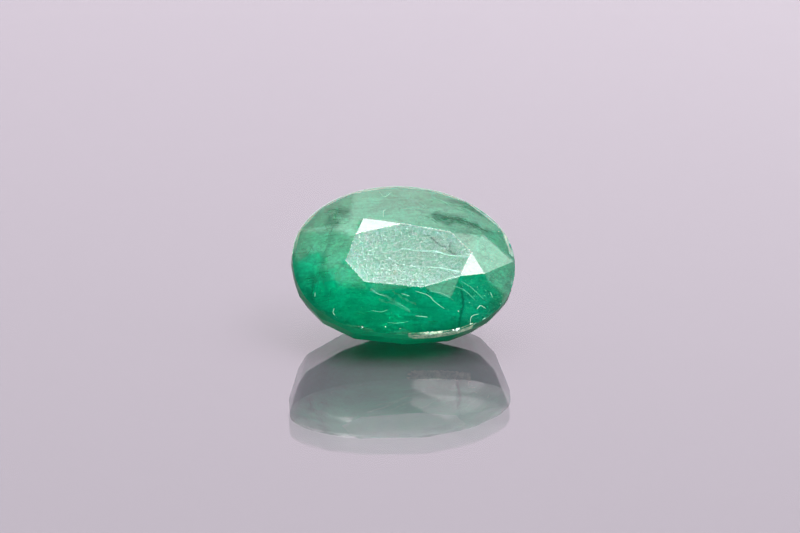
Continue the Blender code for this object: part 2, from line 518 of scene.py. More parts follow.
growth, growth_in, growth_out = start_group(
    "crystal_growth",
    [("Place", "NodeSocketVector", (0, 0, 0)), ("Cloud Size", "NodeSocketFloat", 1.0),
     ("Line Spacing", "NodeSocketFloat", 0.2)],
    [("Clouds", "NodeSocketFloat"), ("Lines", "NodeSocketFloat"),
     ("Mottle", "NodeSocketFloat"), ("Wisps", "NodeSocketFloat")],
)
grown_place = growth_in.outputs["Place"]
for output, stretch, size, noise_values, edges in PATTERNS:
    scale = maths(growth, "DIVIDE", 1.0, growth_in.outputs[size])
    stretched = vector_maths(growth, "MULTIPLY", grown_place, stretch)
    stretched = vector_maths(growth, "SCALE", stretched, scale)
    pattern = grain(growth, stretched, 1.0, *noise_values)
    plug(growth, ease(growth, pattern, *edges), growth_out.inputs[output])
mottle = grain(growth, grown_place, MOTTLE_SCALE, detail=4.0, roughness=0.75)
plug(growth, ease(growth, mottle, 0.36, 0.64), growth_out.inputs["Mottle"])
wisp_place = vector_maths(growth, "MULTIPLY", grown_place, WISP_STRETCH)
wisps = grain(growth, wisp_place, WISP_SCALE, detail=4.0, roughness=0.55, distortion=0.8)
wisps = maths(growth, "ABSOLUTE", maths(growth, "SUBTRACT", wisps, 0.5))
where_wisps = grain(growth, grown_place, WISP_AREA_SCALE, detail=1.0)
wisps = maths(growth, "MULTIPLY", ease(growth, wisps, 0.022, 0.002),
              ease(growth, where_wisps, 0.46, 0.6))
plug(growth, wisps, growth_out.inputs["Wisps"])
print("crystal growth nodes:", len(growth.nodes))

# %% One stretch of a sealed thread
# The mask falls off with the distance to a line, and keeps the strongest of all so far.
THREAD_CORE = 0.25             # share of the width over which a thread is at its full strength

thread, thread_in, thread_out = start_group(
    "sealed_thread",
    [("Place", "NodeSocketVector", (0, 0, 0)), ("Start", "NodeSocketVector", (0, 0, 0)),
     ("Run", "NodeSocketVector", (1, 0, 0)), ("Width", "NodeSocketFloat", 0.1),
     ("Strength", "NodeSocketFloat", 1.0), ("So Far", "NodeSocketFloat", 0.0)],
    [("Mask", "NodeSocketFloat")],
)
run = thread_in.outputs["Run"]
offset = vector_maths(
    thread, "SUBTRACT", thread_in.outputs["Place"], thread_in.outputs["Start"]
)
along = maths(thread, "DIVIDE", vector_maths(thread, "DOT_PRODUCT", offset, run),
              vector_maths(thread, "DOT_PRODUCT", run, run), clamp=True)
nearest = vector_maths(thread, "SCALE", run, along)
gap = vector_maths(thread, "DISTANCE", offset, nearest)
core = maths(thread, "MULTIPLY", thread_in.outputs["Width"], THREAD_CORE)
here = ease(thread, gap, thread_in.outputs["Width"], core, 0.0, thread_in.outputs["Strength"])
strongest = maths(thread, "MAXIMUM", here, thread_in.outputs["So Far"])
plug(thread, strongest, thread_out.inputs["Mask"])
print("sealed thread nodes:", len(thread.nodes))

# %% Find the stone's skin
CAST_HEIGHT = 10.0 * MM        # well outside the stone, where every ray starts


def on_crown(x, y):
    """Return the point on the crown over a place in millimetres, or None off its edge."""
    hit, point, _, _ = stone.ray_cast(Vector((x * MM, y * MM, CAST_HEIGHT)), Vector((0, 0, -1)))
    return point / MM if hit and point.z > 0 else None


print("crown over the girdle's centre in mm:", round(on_crown(0.0, 0.0).z, 2))

# %% Draw threads on the crown
def draw_threads(tree, place, threads):
    """Draw threads, each a run of places on the crown, and return their mask."""
    so_far = 0.0
    for width, strength, places in threads:
        points = [on_crown(*spot) for spot in places]
        for start, end in zip(points, points[1:]):
            made = use_group(tree, thread, Place=place, Start=start, Run=end - start,
                             Width=width, Strength=strength, So_Far=so_far)
            so_far = made.outputs["Mask"]
    return so_far

# %% [markdown]
# ## Smears and dulled polish
# Where many fine threads crowd together they darken the stone in a soft, streaky smear.
# More nodes could draw it, or a painted image. A smear is broad and has no sharp edge, so
# the mesh's own points can carry its darkness, and the material only breaks it up.

# %% Smears
# Each has its half width in millimetres, its strength, and its places, x and y.
DARK_SMEARS = (
    (0.55, 1.00, ((1.84, 2.82), (2.15, 2.6), (2.52, 2.45))),
    (0.42, 1.00, ((2.33, 2.54), (2.85, 2.53), (3.62, 2.51), (4.37, 2.23), (5.26, 1.83))),
    (0.30, 0.50, ((0.74, 4.22), (1.1, 3.96), (1.46, 3.61))),
    (0.60, 0.85, ((3.32, 4.1), (4.21, 3.85), (4.85, 3.5))),
    (0.55, 0.80, ((-4.7, 3.3), (-4.2, 3.2), (-3.7, 2.95))),
    (0.60, 0.80, ((-4.53, 2.78), (-4.38, 2.08))),
    (0.34, 0.65, ((-4.21, 3.01), (-4.59, 1.53), (-4.94, 0.22), (-5.2, -0.77))),
    (0.32, 0.60, ((-6.1, 1.21), (-6.15, -0.18))),
    (0.40, 0.80, ((-5.75, -1.4), (-5.8, -2.2), (-5.89, -2.9))),
    (0.40, 0.65, ((-5.03, -1.2), (-5.03, -2.0), (-5.0, -2.9))),
    (0.30, 0.40, ((-4.4, -1.5), (-4.3, -2.2), (-4.35, -3.0))),
    (0.60, 0.35, ((-3.4, -3.6), (-2.6, -4.0), (-1.6, -4.3))),
    (0.25, 0.30, ((1.6, 1.1), (2.0, 0.8), (2.6, 0.3))),
    (0.50, 0.35, ((0.4, -3.2), (1.2, -3.7), (1.9, -4.2))),
)
SMEAR_WANDER = 0.45        # mm
SMEAR_FADE = 0.75          # share of the half width over which a smear fades out
WANDER_SCALE = 1.6         # per mm
FINE_WANDER = 0.5          # a finer wander's size and scale, as shares of the first's
FINE_SCALE = 2.3
WANDER_SEED = 8            # noise vectors change from run to run unless they are seeded
noise.seed_set(WANDER_SEED)


def nearness(point, threads):
    """Return how strongly the nearest thread shows at a point, from 0 to 1."""
    strongest = 0.0
    for width, strength, points in threads:
        for start, end in zip(points, points[1:]):
            run = end - start
            along = min(max((point - start).dot(run) / run.length_squared, 0.0), 1.0)
            gap = (point - start - run * along).length
            fade = min(max((width - gap) / (width * SMEAR_FADE), 0.0), 1.0)
            strongest = max(strongest, strength * fade * fade * (3.0 - 2.0 * fade))
    return strongest


def mark_points(label, marks, wander):
    """Give the mesh's points a value, strongest along the marks laid on the crown."""
    runs = [(width, strength, [on_crown(*spot) for spot in places])
            for width, strength, places in marks]
    layer = stone_mesh.attributes.new(label, "FLOAT", "POINT")
    for v, marked in zip(stone_mesh.vertices, layer.data):
        here = v.co / MM
        drift = noise.noise_vector(here * WANDER_SCALE)
        drift += FINE_WANDER * noise.noise_vector(here * WANDER_SCALE * FINE_SCALE)
        marked.value = nearness(here + drift * wander, runs)
    print("points with", label + ":", sum(marked.value > 0.1 for marked in layer.data))


mark_points("smears", DARK_SMEARS, SMEAR_WANDER)

# %% Where handling has dulled the polish
# The left end has lost its shine in one patch, which the mesh's points carry too.
DULL_PATCHES = (
    (0.50, 0.85, ((-6.3, -0.5), (-5.9, -0.25), (-5.45, -0.1))),
    (0.50, 0.85, ((-6.1, -0.6), (-5.2, -0.55))),
)
DULL_WANDER = 0.12         # mm

mark_points("dulled", DULL_PATCHES, DULL_WANDER)

# %% [markdown]
# ## Single threads
# Between the smears run single cracks and threads. Dark ones are stained, and pale ones
# have healed. Each could be a thin mesh sheet inside the stone. The thread group draws
# them on the skin instead, at little cost, and keeps their edges soft.

# %% Where the threads run
# The columns are those of the smears. Two dark cracks run down the middle of a smear, and two
# pale threads run across the table, under scratches that are laid later.
LONG_SCRATCH = ((-0.22, 0.21), (0.5, 0.02), (1.91, -0.01), (2.7, -0.25), (3.97, -0.31))
SHORT_SCRATCH = ((1.43, -1.11), (2.4, -1.2), (3.3, -1.41))
DARK_CRACKS = (
    (0.09, 0.80, ((1.81, 3.97), (1.85, 3.96))),
    (0.11, 0.92, DARK_SMEARS[1][2]),
    (0.08, 0.50, ((-4.7, 3.75), (-4.1, 3.65), (-3.5, 3.3))),
    (0.08, 0.45, ((-4.4, 3.3), (-3.9, 3.15), (-3.4, 2.9))),
    (0.10, 0.40, DARK_SMEARS[6][2]),
    (0.08, 0.40, ((2.2, 4.3), (3.3, 4.05), (4.3, 3.75))),
    (0.07, 0.45, ((2.0, 2.9), (2.9, 2.95), (4.0, 2.8))),
    (0.11, 0.60, ((-5.75, -1.88), (-5.72, -2.38), (-5.89, -2.6), (-5.8, -3.0))),
    (0.10, 0.35, ((-5.03, -1.95), (-5.03, -2.49))),
    (0.13, 0.75, ((3.42, -2.61), (3.55, -3.19), (3.44, -3.83), (3.27, -4.6))),
    (0.10, 0.62, ((1.38, 1.17), (1.7, 0.95), (1.87, 0.69), (2.17, 0.42), (2.4, 0.35),
                  (2.54, 0.18), (2.9, -0.1), (3.3, -0.3))),
    (0.08, 0.55, ((2.84, 0.67), (2.73, 0.38), (2.74, 0.1))),
)
PALE_THREADS = (
    (0.14, 0.16, ((-2.2, -2.75), (-1.29, -3.11), (-0.59, -3.49), (0.1, -3.88))),
    (0.09, 0.14, ((-1.7, -3.3), (-0.9, -3.5), (-0.2, -3.75))),
    (0.09, 0.12, ((-0.9, -2.8), (-0.2, -3.2), (0.5, -3.5))),
    (0.09, 0.44, LONG_SCRATCH),
    (0.09, 0.38, SHORT_SCRATCH),
)
print("dark cracks:", len(DARK_CRACKS), "and pale threads:", len(PALE_THREADS))

# %% [markdown]
# ## The stone's body
# An emerald this full of inclusions is not clear glass: light enters, scatters in the milk
# and comes back green. Most of its body is a frosted transmission, which blurs light as milk
# does, and the rest is a subsurface scatter. The polish is a clear coat over both, so each
# facet still mirrors the tent sharply.

# %% Set what is the same all over
EMERALD_INDEX = 1.58
BODY_VALUES = {
    "IOR": EMERALD_INDEX,
    "Roughness": 0.42,                         # how far the milk spreads light
    "Transmission Weight": 0.78,
    "Subsurface Weight": 1.0,
    "Subsurface Radius": (0.15, 1.0, 0.7),     # green goes farthest, and red hardly at all
    "Subsurface Scale": 4.0 * MM,
    "Specular Tint": (0.0, 0.0, 0.0, 1.0),     # only the coat mirrors
    "Coat IOR": EMERALD_INDEX,
    "Coat Roughness": 0.02,
}
DEPTH_COLOUR = (0.02, 0.86, 0.74, 1.0)
DEPTH_DENSITY = 260.0                          # per metre

material = bpy.data.materials.new("milky_emerald")
material.use_nodes = True
tree = material.node_tree
body = tree.nodes["Principled BSDF"]
for name, value in BODY_VALUES.items():
    body.inputs[name].default_value = value
depth = tree.nodes.new("ShaderNodeVolumeAbsorption")
depth.inputs["Color"].default_value = DEPTH_COLOUR
depth.inputs["Density"].default_value = DEPTH_DENSITY
plug(tree, depth.outputs[0], tree.nodes["Material Output"].inputs["Volume"])
print("values set on the body:", len(BODY_VALUES))

# %% Find places in the stone
# Cracks never run quite straight, so they are drawn at places that noise has moved.
CRACK_WANDER = 0.3             # mm
CRACK_SCALE = 4.5              # per mm
HALF_GREY = (0.5, 0.5, 0.5)    # the middle of a noise colour, taken off to drift both ways


def place_in_mm(tree):
    """Return the place in the stone's own frame, in millimetres."""
    position = tree.nodes.new("ShaderNodeTexCoord").outputs["Object"]
    return vector_maths(tree, "SCALE", position, 1.0 / MM)


def carried(label):
    """Return a value that the mesh carries."""
    return add_node(tree, "ShaderNodeAttribute", attribute_name=label).outputs["Fac"]


place = place_in_mm(tree)
drift = add_node(tree, "ShaderNodeTexNoise")
plug(tree, place, drift.inputs["Vector"])
drift.inputs["Scale"].default_value = CRACK_SCALE
drift.inputs["Detail"].default_value = 4.0
drift.inputs["Roughness"].default_value = 0.65
shift = vector_maths(tree, "SUBTRACT", drift.outputs["Color"], HALF_GREY)
shift = vector_maths(tree, "SCALE", shift, CRACK_WANDER)
cracked_place = vector_maths(tree, "ADD", place, shift)
axes = add_node(tree, "ShaderNodeSeparateXYZ")
plug(tree, cracked_place, axes.inputs[0])
_, back, up = axes.outputs

# %% Mix the milk into the green
DEEP_GREEN = (0.0, 0.27, 0.13, 1.0)
MILK_GREEN = (0.002, 0.90, 0.50, 1.0)
CLOUD_SHARE = 0.38
LINE_SHARE = 0.3
MOTTLE_SHARE = 0.32

grown = use_group(tree, growth, Place=place, Cloud_Size=1.5, Line_Spacing=0.13)
milk = maths(tree, "MULTIPLY", grown.outputs["Clouds"], CLOUD_SHARE)
milk = maths(tree, "MULTIPLY_ADD", grown.outputs["Lines"], LINE_SHARE, milk)
milk = maths(tree, "MULTIPLY_ADD", grown.outputs["Mottle"], MOTTLE_SHARE, milk)
colour = tint(tree, milk, DEEP_GREEN, MILK_GREEN)

# %% Brighten the colour's zone, and paint shade into the depths
# The colour is strongest in one zone, left of the middle, and falls off around it, and it is
# darker towards the back. Little light comes back out of the depth of the pavilion, so the
# colour there is darkened as painted shade.
ZONE_CENTRE = (-3.6, -0.4, 0.0)
ZONE_REACH = (1 / 5.5, 1 / 3.8, 0.0)
ZONE_EDGES = (0.1, 1.3)        # shares of its reach
ZONE_LIGHT = (1.29, 0.94)      # inside and outside
PAINTED_SHADE_HEIGHTS = (0.6, 0.0)      # mm over the girdle's middle
DEEP_PAINTED_SHADE = 0.42
BACK_PLACES = (-1.5, 4.0)      # mm from front to back
BACK_LIGHT = 0.76

from_zone = vector_maths(tree, "SUBTRACT", place, ZONE_CENTRE)
from_zone = vector_maths(tree, "MULTIPLY", from_zone, ZONE_REACH)
from_zone = vector_maths(tree, "LENGTH", from_zone)
zone = ease(tree, from_zone, *ZONE_EDGES, *ZONE_LIGHT)
# Painted shade: the colour darkens below the girdle's middle, down into the pavilion.
zone = maths(tree, "MULTIPLY", zone, ease(tree, up, *PAINTED_SHADE_HEIGHTS, 1.0, DEEP_PAINTED_SHADE))
zone = maths(tree, "MULTIPLY", zone, ease(tree, back, *BACK_PLACES, 1.0, BACK_LIGHT))
colour = vector_maths(tree, "SCALE", colour, zone)

# %% Scuff the table
# The table is the most handled facet. Its polish is scuffed in a fine, even grain.
SCUFFED_TABLE = (0.75, 1.0, 0.92, 1.0)
SCUFF_SCALE = 7.0              # per mm
SCUFF_DEPTH = (0.34, 1.0)      # between the grains and on them
WEAR_SCALE = 0.9               # per mm, where the scuffing is lighter
WEAR_DEPTH = (0.88, 1.0)

scuff = grain(tree, place, SCUFF_SCALE, detail=4.0, roughness=0.8, distortion=0.8)
scuff = ease(tree, scuff, 0.44, 0.62, *SCUFF_DEPTH)
worn_here = ease(tree, grain(tree, place, WEAR_SCALE, detail=2.0), 0.35, 0.65, *WEAR_DEPTH)
scuff = maths(tree, "MULTIPLY", carried("table"), maths(tree, "MULTIPLY", scuff, worn_here))
colour = tint(tree, scuff, colour, SCUFFED_TABLE)

# %% Lay the smears and threads over the colour
THREAD_DARK = (0.0, 0.09, 0.05, 1.0)
THREAD_PALE = (0.5, 0.95, 0.8, 1.0)
WISP_STRENGTH = 0.35

streaky = maths(tree, "MULTIPLY_ADD", grown.outputs["Lines"], 0.6, 0.1)
streaky = maths(tree, "MULTIPLY_ADD", grown.outputs["Mottle"], 0.5, streaky, clamp=True)
smears = maths(tree, "MULTIPLY", carried("smears"), streaky)
cracks = maths(tree, "MAXIMUM", draw_threads(tree, cracked_place, DARK_CRACKS),
               maths(tree, "MULTIPLY", grown.outputs["Wisps"], WISP_STRENGTH))
broken = maths(tree, "MAXIMUM", smears, cracks)
colour = tint(tree, broken, colour, THREAD_DARK)
pale = draw_threads(tree, cracked_place, PALE_THREADS)
pale = maths(tree, "MULTIPLY", pale, ease(tree, grown.outputs["Mottle"], 0.0, 0.7, 0.3, 1.0))
colour = tint(tree, pale, colour, THREAD_PALE)

# %% Leave a pale line behind the crown, partly chalk and partly painted highlight
# The girdle's top edge is unpolished at the back. The pale line also paints the highlight
# that this rim catches from the bright tent behind, so it grows stronger towards the back.
CHALKY_RIM_AND_HIGHLIGHT = (0.95, 0.97, 0.78, 1.0)
RIM_MIDDLE = 0.17              # mm over the girdle's middle
RIM_HALF_WIDTHS = (0.045, 0.02)
RIM_HIGHLIGHT_STRENGTH = 0.6

height_axes = add_node(tree, "ShaderNodeSeparateXYZ")
plug(tree, place, height_axes.inputs[0])
rim = maths(tree, "ABSOLUTE", maths(tree, "SUBTRACT", height_axes.outputs["Z"], RIM_MIDDLE))
rim = maths(tree, "MULTIPLY", ease(tree, rim, *RIM_HALF_WIDTHS),
            ease(tree, back, 0.0, 2.0, 0.0, RIM_HIGHLIGHT_STRENGTH))
# Painted highlight along the rim, mixed with the colour of its unpolished edge.
colour = tint(tree, rim, colour, CHALKY_RIM_AND_HIGHLIGHT)
plug(tree, colour, body.inputs["Base Color"])

# %% Polish the crown
# The crown is polished last and best. Its shine breaks where a dark thread comes out, and
# thins over the mottle, over the growth lines and in the dulled patch.
POLISH_HEIGHTS = (0.05, 0.2)   # mm over the girdle's middle
PAVILION_POLISH = 0.12

polish = ease(tree, up, *POLISH_HEIGHTS, PAVILION_POLISH, 1.0)
for breaks, *values in ((broken, 0.1, 0.8, 1.0, 0.25),
                        (grown.outputs["Mottle"], 0.0, 1.0, 0.84, 1.0),
                        (grown.outputs["Lines"], 0.0, 1.0, 0.82, 1.0)):
    polish = maths(tree, "MULTIPLY", polish, ease(tree, breaks, *values))
polish = maths(tree, "MULTIPLY", polish, maths(tree, "SUBTRACT", 1.0, carried("dulled")))
plug(tree, polish, body.inputs["Coat Weight"])
stone_mesh.materials.append(material)
print("body nodes:", len(tree.nodes))

# %% Put the stone in the solid's place
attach(stone, "root")
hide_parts("emerald")

# %% [markdown]
# ## Scratches and fibres
# A handled stone carries fine scratches, and short bright fibres of lint cling to it. They
# could be painted into the colour. Each breaks the polish or stands up from it, so each is
# a real mesh here: a thin tube along a smooth curve on the crown.

# %% Run a smooth curve through a few places
def smooth_run(points, steps):
    """Return points on a smooth curve through a few points."""
    ends = [points[0] * 2 - points[1], *points, points[-1] * 2 - points[-2]]
    run = []
    for before, start, end, after in zip(ends, ends[1:], ends[2:], ends[3:]):
        for step in range(steps):
            t = step / steps
            run.append(0.5 * (
                start * 2 + (end - before) * t
                + (before * 2 - start * 5 + end * 4 - after) * t ** 2
                + (start * 3 - before - end * 3 + after) * t ** 3
            ))
    return run + [points[-1]]

# %% Lay thin tubes on the crown
LINE_STEPS = 4                 # points on a curve from one place to the next
LINE_LIFT = 0.004              # mm over the skin
LINE_ENDS = 0.45               # a tube's radius near its ends, as a share of its middle's


def lay_lines(name, lines):
    """Make one piece of thin round lines. Each has its radius and its points in millimetres."""
    data = bpy.data.curves.new(name, "CURVE")
    data.dimensions = "3D"
    data.bevel_depth = MM
    data.bevel_resolution = 1
    data.use_fill_caps = True
    for radius, points in lines:
        spline = data.splines.new("POLY")
        spline.points.add(len(points) - 1)
        for i, (point, made) in enumerate(zip(points, spline.points)):
            swell = math.sin(math.pi * (i + 0.5) / len(points))
            made.co = (*(point * MM), 1.0)
            made.radius = radius * (LINE_ENDS + (1.0 - LINE_ENDS) * swell)
    drawn = add_object(name, data)
    bpy.context.view_layer.update()
    mesh = bpy.data.meshes.new_from_object(drawn)
    bpy.data.objects.remove(drawn)
    return lay_piece(name, mesh)


def draw_lines(name, lines):
    """Lay lines on the crown. Each has its radius in millimetres and its places, x and y."""
    laid = []
    for radius, places in lines:
        flat = smooth_run([Vector(spot) for spot in places], LINE_STEPS)
        points = [on_crown(*spot) for spot in flat]
        laid.append((radius, [point + Vector((0, 0, LINE_LIFT)) for point in points if point]))
    return lay_lines(name, laid)

# %% Finish a small piece
def plain_finish(name, colour, roughness, shine=0.5):
    """Return a plain material."""
    made = bpy.data.materials.new(name)
    made.use_nodes = True
    shader = made.node_tree.nodes["Principled BSDF"]
    shader.inputs["Base Color"].default_value = colour
    shader.inputs["Roughness"].default_value = roughness
    shader.inputs["Specular IOR Level"].default_value = shine
    return made


def finish_piece(piece, finish):
    """Give a small piece its material, and let it ride with the stone."""
    piece.data.materials.clear()
    piece.data.materials.append(finish)
    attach(piece, "root")

# %% Scratch the crown
SCRATCHES = (
    (0.011, ((-2.29, -2.66), (-1.88, -2.95), (-1.29, -3.09))),
    (0.010, ((-0.35, -2.92), (0.15, -3.05))),
    (0.012, ((0.52, -2.76), (1.33, -2.99), (1.72, -3.33), (2.33, -3.7))),
    (0.014, ((0.54, -4.17), (1.3, -4.21))),
    (0.007, LONG_SCRATCH[:3]),
    (0.008, LONG_SCRATCH[2:]),
    (0.008, SHORT_SCRATCH),
    (0.012, ((5.31, -2.38), (5.44, -2.66))),
    (0.013, ((-5.66, -2.57), (-5.66, -2.81))),
)
FAINT_SCRATCHES = (
    (0.009, ((-2.2, -3.9), (-1.6, -3.98), (-1.2, -3.85))),
    (0.008, ((-1.2, -4.55), (-0.6, -4.6), (0.1, -4.5))),
    (0.009, ((2.9, -2.35), (3.6, -2.5), (4.3, -3.0))),
    (0.009, ((3.4, -2.0), (4.0, -2.25), (4.9, -2.9))),
    (0.009, ((1.4, -2.75), (2.2, -2.85), (2.9, -3.2))),
    (0.008, ((-0.8, -3.4), (-0.1, -3.7), (0.2, -3.95))),
    (0.009, ((1.9, 4.3), (2.5, 4.1), (3.0, 3.7))),
    (0.009, ((-0.2, 3.2), (0.8, 3.25), (1.6, 3.1))),
    (0.012, ((-1.43, 4.7), (-1.15, 4.26), (-0.68, 4.68))),
    (0.012, ((-1.33, 2.49), (-1.29, 3.01), (-1.1, 3.15))),
)
scratched = plain_finish("scratched_polish", (0.42, 0.97, 0.76, 1.0), 0.4)
faint = plain_finish("faint_scratch", (0.2, 0.85, 0.6, 1.0), 0.4)
finish_piece(draw_lines("surface_scratches", SCRATCHES), scratched)
finish_piece(draw_lines("faint_scratches", FAINT_SCRATCHES), faint)

# %% Let lint cling
FIBRES = (
    (0.014, ((4.43, -3.52), (4.66, -3.28), (4.98, -3.4))),
    (0.013, ((4.01, -4.4), (4.09, -3.97), (4.53, -3.78))),
    (0.012, ((4.81, -4.05), (4.98, -3.94))),
    (0.011, ((-4.49, -3.66), (-4.56, -3.88), (-4.43, -4.05))),
)
lint = plain_finish("lint", (0.5, 0.97, 0.78, 1.0), 0.5)
finish_piece(draw_lines("lint_fibres", FIBRES), lint)

# %% [markdown]
# ## The worn rim
# Behind the table the crown ends in a worn edge that catches a line of light. A bevel on
# the stone's own mesh could carry it. A tube laid along the outline is simpler, and its
# finish can be its own.

# %% Lay a line along the girdle
RIM_STEPS = 120
RIM_ENDS = (14.0, 178.0)       # degrees round the outline, from the right end
RIM_RADIUS = 0.04              # mm

rim_points = []
for i in range(RIM_STEPS + 1):
    angle = math.radians(RIM_ENDS[0] + (RIM_ENDS[1] - RIM_ENDS[0]) * i / RIM_STEPS)
    way = Vector((math.cos(angle), math.sin(angle), 0.0))
    start = Vector((0.0, 0.0, RIM_HEIGHT / MM)) * MM + way * CAST_HEIGHT
    _, point, _, _ = stone.ray_cast(start, -way)
    rim_points.append(point / MM)
worn = plain_finish("worn_rim", (0.24, 0.37, 0.29, 1.0), 0.5)
finish_piece(lay_lines("unpolished_rim", [(RIM_RADIUS, rim_points)]), worn)

# %% [markdown]
# ## Hairlines
# Where sealed threads come out, the skin is broken by short dark hairlines that run with
# the smear. A noise texture could hint at them, but it blurs lines this fine. Each is a
# shaky tube instead, drawn by chance from a fixed seed, so that every run is the same.

# %% Draw hairlines where threads come out
HAIR_SEED = 11
HAIRS_PER_MM2 = 26
HAIR_LENGTHS = (0.2, 0.8)      # mm
HAIR_RADII = (0.004, 0.011)    # mm
HAIR_STEPS = 5
HAIR_SHAKE = 0.012             # mm
HAIR_TURN = 0.14               # how far it may turn from the smear's own run, in radians
HAIR_SPREAD = 0.45             # share of the smear's half width
hand = random.Random(HAIR_SEED)


def hairline(middle, way):
    """Return one shaky hairline through a place on the crown, or None off its edge."""
    turned = math.atan2(way.y, way.x) + hand.gauss(0.0, HAIR_TURN)
    step = Vector((math.cos(turned), math.sin(turned))) * hand.uniform(*HAIR_LENGTHS) / HAIR_STEPS
    points = []
    for i in range(HAIR_STEPS + 1):
        spot = middle + step * (i - HAIR_STEPS / 2)
        spot += Vector((hand.gauss(0.0, HAIR_SHAKE), hand.gauss(0.0, HAIR_SHAKE)))
        points.append(on_crown(*spot))
    return points if all(points) else None


hairs = []
for width, strength, places in DARK_SMEARS:
    spread = width * HAIR_SPREAD
    for start, end in zip(places, places[1:]):
        run = Vector(end) - Vector(start)
        for _ in range(int(HAIRS_PER_MM2 * strength ** 2 * 2 * width * run.length)):
            middle = Vector(start) + run * hand.random()
            middle += Vector((hand.gauss(0.0, spread), hand.gauss(0.0, spread)))
            made = hairline(middle, hand.choice((run, Vector((1.0, 0.0)))))
            if made:
                hairs.append((hand.uniform(*HAIR_RADII), made))
dark = plain_finish("dark_thread", (0.0, 0.17, 0.08, 1.0), 0.45, shine=0.1)
finish_piece(lay_lines("dark_hairlines", hairs), dark)
print("hairlines:", len(hairs))

# %% [markdown]
# ## Dust and grains
# Fine crystal dust lies on the crown, thickest on the table. A particle system could
# scatter it. A loop over places drawn by chance is as short, and it can thin the dust from
# place to place. A speck is a tiny flat crystal with eight faces, so it glints like one.

# %% Make specks
# A speck's corners are as many radii from its middle, and its faces name three corners each.
DUST_SEED = 7
SPECK_CORNERS = ((1, 0, 0), (0, 1, 0), (-1, 0, 0), (0, -1, 0), (0, 0, 1), (0, 0, -1))
SPECK_FACES = ((0, 1, 4), (1, 2, 4), (2, 3, 4), (3, 0, 4),
               (1, 0, 5), (2, 1, 5), (3, 2, 5), (0, 3, 5))
SPECK_LEAN = 0.6               # radians either way
SPECK_WIDTHS = (0.4, 1.0)      # shares of its length
SPECK_HEIGHTS = (0.2, 0.5)
dice = random.Random(DUST_SEED)


def make_specks(name, specks, finish):
    """Make one mesh of many specks. Each has its place and its size in millimetres."""
    corners = []
    faces = []
    for point, size in specks:
        turn = Matrix.Rotation(dice.uniform(0, math.tau), 3, "Z")
        turn = Matrix.Rotation(dice.uniform(-SPECK_LEAN, SPECK_LEAN), 3, "X") @ turn
        turn = Matrix.Rotation(dice.uniform(-SPECK_LEAN, SPECK_LEAN), 3, "Y") @ turn
        width = size * dice.uniform(*SPECK_WIDTHS)
        shape = Vector((size, width, size * dice.uniform(*SPECK_HEIGHTS)))
        faces += [[len(corners) + corner for corner in face] for face in SPECK_FACES]
        corners += [(point + turn @ (Vector(corner) * shape)) * MM for corner in SPECK_CORNERS]
    mesh = bpy.data.meshes.new(name)
    mesh.from_pydata(corners, [], faces)
    finish_piece(lay_piece(name, mesh), finish)

# %% Let the dust fall
TABLE_DUST = 6600
CROWN_DUST = 1100
DUST_REACH = (6.9, 5.1)        # mm from the middle, along the stone and across it
DUST_SIZES = (0.010, 0.029)    # mm
CROWN_DUST_SHARE = 0.8         # of the size of the table's
BIG_SPECK_CHANCE = 0.03
BIG_SPECK = 1.8
FLAT_ERROR = 0.01              # mm


def on_table(point):
    """Return whether a point of the skin is on the table."""
    return point.z > TABLE_HEIGHT / MM - FLAT_ERROR


def table_share(x, y):
    """Return how thickly dust lies at a place on the table: more to the left and the front."""
    left = max(0.0, min(1.0, (1.5 - x) / 5.0))
    front = max(0.0, min(1.0, -0.6 - y))
    return 0.4 + 0.18 * left + 0.45 * front


def crown_share(x, y):
    """Return how thickly dust lies at a place on the crown: more at its right end."""
    return 0.12 + 0.88 * max(0.0, min(1.0, (x - 3.0) / 2.5))


def speck_size():
    """Return the size of one speck of dust, in millimetres."""
    size = dice.uniform(*DUST_SIZES)
    return size * BIG_SPECK if dice.random() < BIG_SPECK_CHANCE else size


table_dust = []
crown_dust = []
while len(table_dust) < TABLE_DUST or len(crown_dust) < CROWN_DUST:
    x = dice.uniform(-DUST_REACH[0], DUST_REACH[0])
    y = dice.uniform(-DUST_REACH[1], DUST_REACH[1])
    point = on_crown(x, y)
    if point is None:
        continue
    if on_table(point):
        if len(table_dust) < TABLE_DUST and dice.random() < table_share(x, y):
            table_dust.append((point, speck_size()))
    elif len(crown_dust) < CROWN_DUST and dice.random() < crown_share(x, y):
        crown_dust.append((point, speck_size() * CROWN_DUST_SHARE))
powder = plain_finish("crystal_powder", (0.72, 1.0, 0.9, 1.0), 0.35)
make_specks("table_dust", table_dust, powder)
make_specks("crown_dust", crown_dust, faint)

# %% Drop larger grains on the table
# About a third lie round one heap at the left, a third on the left half, and the rest
# anywhere along the table.
TABLE_GRAINS = 90
GRAIN_SIZES = (0.03, 0.062)    # mm
GRAIN_HEAP = (-2.6, 0.8)       # middle and spread
GRAIN_LEFT = (-2.9, 0.9)
GRAIN_RUN = (-3.5, 4.0)
GRAIN_DEPTH = (-2.5, 1.7)
table_grains = []
while len(table_grains) < TABLE_GRAINS:
    x = dice.choice((dice.gauss(*GRAIN_HEAP), dice.uniform(*GRAIN_LEFT), dice.uniform(*GRAIN_RUN)))
    y = dice.uniform(*GRAIN_DEPTH)
    point = on_crown(x, y)
    if point is None or not on_table(point):
        continue
    if dice.random() < table_share(x, y):
        table_grains.append((point, dice.uniform(*GRAIN_SIZES)))
make_specks("table_grains", table_grains, powder)

# %% [markdown]
# ## Chipped edges
# The table's edges are the sharpest on the stone, so they chip first. A real chip is a
# scoop out of the edge, which a boolean could cut. These are finer than a hair, and only
# their glint is seen, so a bright speck stands for each.

